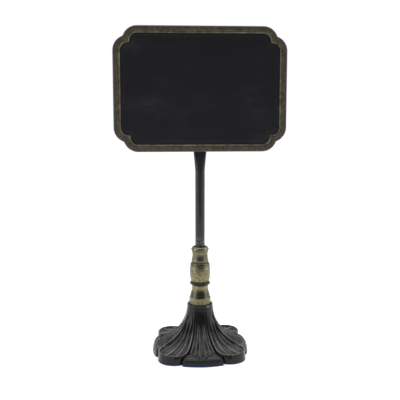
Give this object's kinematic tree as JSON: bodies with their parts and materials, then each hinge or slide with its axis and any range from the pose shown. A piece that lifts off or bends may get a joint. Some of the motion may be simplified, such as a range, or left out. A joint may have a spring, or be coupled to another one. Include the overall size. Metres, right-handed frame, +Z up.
{
  "type": "tabletop chalkboard sign stand",
  "caption": "Small framed chalkboard on a round post that turns in a brass collar above a fluted, lobed cast base.",
  "frame": {"origin": "on the post's axis, at the bottom face of the base pad, where the stand rests", "axes": "+Z up along the post, -Y out of the writing face towards the reader, +X to the reader's right"},
  "size_m": [0.157, 0.0896, 0.3025],
  "materials": {
    "antique_gold_frame": "antique gold rubbed over black, satin, with a paler worn inner bead and a dark outer edge",
    "chalkboard": "matt charcoal chalkboard paint with faint wiped chalk",
    "hardboard": "bare brown pressed fibreboard",
    "zinc_steel": "bright zinc plate",
    "plain_steel": "plain turned steel",
    "black_steel": "black powder coat",
    "black_post": "semi-gloss black paint, scuffed where it enters the collar",
    "antique_brass": "antique brass, brushed and darkened in the grooves",
    "black_ring": "black gloss paint rubbed through to brass on its edge",
    "thrust_brass": "plain brass",
    "black_iron": "gloss black enamel on cast iron, copper-brown where the ribs are rubbed",
    "navy_felt": "dark blue pressed felt"
  },
  "bodies": {
    "base": {"collar_lip_ring": "antique_brass", "collar_neck": "antique_brass", "collar_barrel": "antique_brass", "collar_dark_ring": "black_ring", "collar_cone": "antique_brass", "guide_sleeve": "plain_steel", "thrust_washer": "thrust_brass", "base_washer": "zinc_steel", "base_casting": "black_iron", "base_pad": "navy_felt"},
    "sign_and_post": {"sign_frame": "antique_gold_frame", "chalkboard_panel": "chalkboard", "backing_board": "hardboard", "retainer_clips": "zinc_steel", "clip_screws": "zinc_steel", "back_strap": "black_steel", "strap_screws": "zinc_steel", "post_screws": "zinc_steel", "post_screw_washers": "zinc_steel", "post_tube": "black_post", "post_plug": "plain_steel", "post_stud": "zinc_steel", "spring_washer": "plain_steel", "stud_nut": "zinc_steel"}
  },
  "joints": [
    {"name": "post_swivel", "type": "hinge", "parent": "base", "child": "sign_and_post", "pos_m": [0, 0, 0.065], "axis": [0, 0, 1], "continuous": true}
  ]
}
